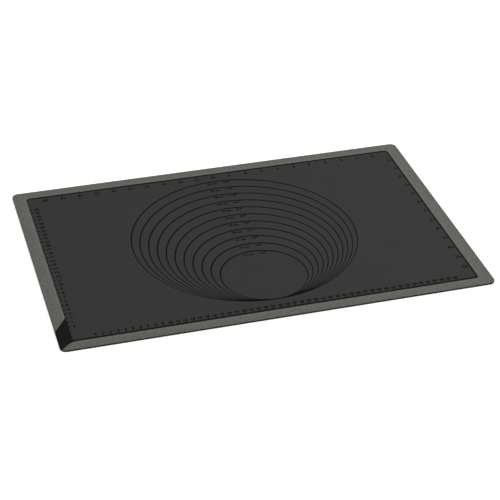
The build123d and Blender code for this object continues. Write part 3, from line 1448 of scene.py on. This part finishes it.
@dataclass
class Studio:
    """White floor and backdrop under a soft grey ceiling, with a softbox and two lamps."""

    floor_radius: float = 7.0
    floor_gap: float = 0.02 * MM
    sweep_radius: float = 1.2
    wall_height: float = 2.4
    wall_steps: int = 96
    sweep_steps: int = 12
    pale: float = 0.8
    lift: float = 0.45
    ceiling: float = 0.3
    lamps: tuple[Lamp, ...] = (
        Lamp("softbox", (0.2, 0.1, 2.3), 2.4, 31.0),
        Lamp("key_lamp", (1.8, 0.5, 1.3), 0.9, 17.0),
        Lamp("fill_lamp", (-1.6, 0.2, 1.8), 1.2, 5.0),
    )

    def backdrop(self) -> None:
        """Builds the round floor, swept up into a low wall, which looks white and keeps the mat's shadow."""
        level = CAD_BOX[0].z - self.floor_gap
        turns = [pi / 2 * step / self.sweep_steps for step in range(self.sweep_steps + 1)]
        sweep = self.sweep_radius
        middle = (self.floor_radius - sweep, level + sweep)
        section = [(middle[0] + sweep * sin(turn), middle[1] - sweep * cos(turn)) for turn in turns]
        section.append((self.floor_radius, level + self.wall_height))
        work = bmesh.new()
        angles = [tau * step / self.wall_steps for step in range(self.wall_steps)]
        loops = [[work.verts.new((r * cos(a), r * sin(a), z)) for a in angles] for r, z in section]
        work.faces.new(loops[0])
        bridge(work, loops)
        mesh = bpy.data.meshes.new("studio_floor")
        work.to_mesh(mesh)
        work.free()
        floor = new_object("studio_floor", mesh)
        floor.data.materials.append(self.paper())

    def paper(self) -> bpy.types.Material:
        """Makes the backdrop's matte white, which is lifted only where it is seen or reflected.

        Returns:
            The material.
        """
        material = bpy.data.materials.new("white paper")
        bench = fresh_bench(material)
        path = bench.add("ShaderNodeLightPath").outputs
        direct = bench.calc("MAXIMUM", path["Is Camera Ray"], path["Is Glossy Ray"])
        seen = bench.calc("MAXIMUM", direct, path["Is Transmission Ray"])
        glow = bench.add("ShaderNodeEmission", {"Strength": bench.calc("MULTIPLY", seen, self.lift)})
        matte = bench.add("ShaderNodeBsdfDiffuse", {"Color": (self.pale, self.pale, self.pale, 1.0)})
        both = bench.add("ShaderNodeAddShader", {0: matte.outputs[0], 1: glow.outputs[0]})
        bench.add("ShaderNodeOutputMaterial", {"Surface": both.outputs[0]})
        return material

    def world(self) -> None:
        """Makes the even grey light that comes from above."""
        world = bpy.data.worlds.new("soft ceiling")
        bench = fresh_bench(world)
        inputs = {"Color": (1.0, 1.0, 1.0, 1.0), "Strength": self.ceiling}
        background = bench.add("ShaderNodeBackground", inputs)
        bench.add("ShaderNodeOutputWorld", {"Surface": background.outputs[0]})
        bpy.context.scene.world = world

    def build(self) -> None:
        """Builds the backdrop, the world and the lamps."""
        self.backdrop()
        self.world()
        for lamp in self.lamps:
            lamp.build()
        bpy.context.scene.view_settings.view_transform = "Standard"


def mix_finishes(mat: MatFrame) -> dict[str, Dye]:
    """Mixes every finish of the mat.

    Args:
        mat: the mat's heights and outlines.

    Returns:
        The finishes by their short names.
    """
    black = Silicone(
        name="black silicone",
        slot="black_silicone",
        tone=(0.006, 0.006, 0.006),
        mottle=0.06,
        mottle_size=18 * MM,
        speckle=0.20,
        speckle_size=2.0 * MM,
        grain_size=0.5 * MM,
        grain_depth=0.02 * MM,
        roughness=0.6,
        roughness_spread=0.06,
        gloss=0.06,
    )
    charcoal = Silicone(
        name="charcoal silicone",
        slot="charcoal_silicone",
        tone=(0.0325, 0.0325, 0.0325),
        mottle=0.06,
        mottle_size=60 * MM,
        speckle=0.14,
        speckle_size=2.6 * MM,
        grain_size=0.45 * MM,
        grain_depth=0.02 * MM,
        roughness=0.62,
        roughness_spread=0.05,
        gloss=0.1,
    )
    grey = Silicone(
        name="grey silicone",
        slot="grey_silicone",
        tone=(0.112, 0.1125, 0.103),
        mottle=0.06,
        mottle_size=35 * MM,
        speckle=0.65,
        speckle_size=2.4 * MM,
        grain_size=0.7 * MM,
        grain_depth=0.04 * MM,
        roughness=0.68,
        roughness_spread=0.06,
        gloss=0.1,
        # Along the rib: the wide strip makes the band paler towards the rib, and the narrow one is a painted
        # highlight on the band's inner edge.
        rims=(RimLight(mat.rib, mat.band_width, 0.12), RimLight(mat.rib, 3.5 * MM, 0.14)),
    )
    ink = Silicone(
        name="black print",
        slot="black_print",
        tone=(0.003, 0.003, 0.003),
        mottle=0.05,
        mottle_size=12 * MM,
        speckle=0.10,
        speckle_size=0.8 * MM,
        grain_size=0.3 * MM,
        grain_depth=0.01 * MM,
        roughness=0.6,
        roughness_spread=0.05,
        gloss=0.03,
    )
    finishes = {"black": black, "charcoal": charcoal, "grey": grey, "ink": ink, "fibre": GlassFibre()}
    return {name: Dye(finish, finish.build()) for name, finish in finishes.items()}


def main() -> None:
    """Builds the camera, the mat's pieces and the room, in that order."""
    logging.basicConfig(level=logging.INFO, format="%(name)s: %(message)s")
    PhotoCamera().build()
    mat = MatFrame()
    dyes = mix_finishes(mat)
    skins, plan = Skins(mat), PouringPlan(mat)
    skins.dress(dyes["black"])
    GripField(mat, skins).dress(dyes["black"])
    FibreMesh().dress(dyes["fibre"])
    WorkPanel(mat).dress(dyes["charcoal"])
    BorderBand(mat, plan).dress(dyes["grey"])
    PouringCorner(mat, plan).dress(dyes["black"])
    GuideCircles(mat).dress(dyes["ink"])
    Rulers(mat).dress(dyes["ink"])
    Studio().build()


if __name__ == "__main__":
    main()
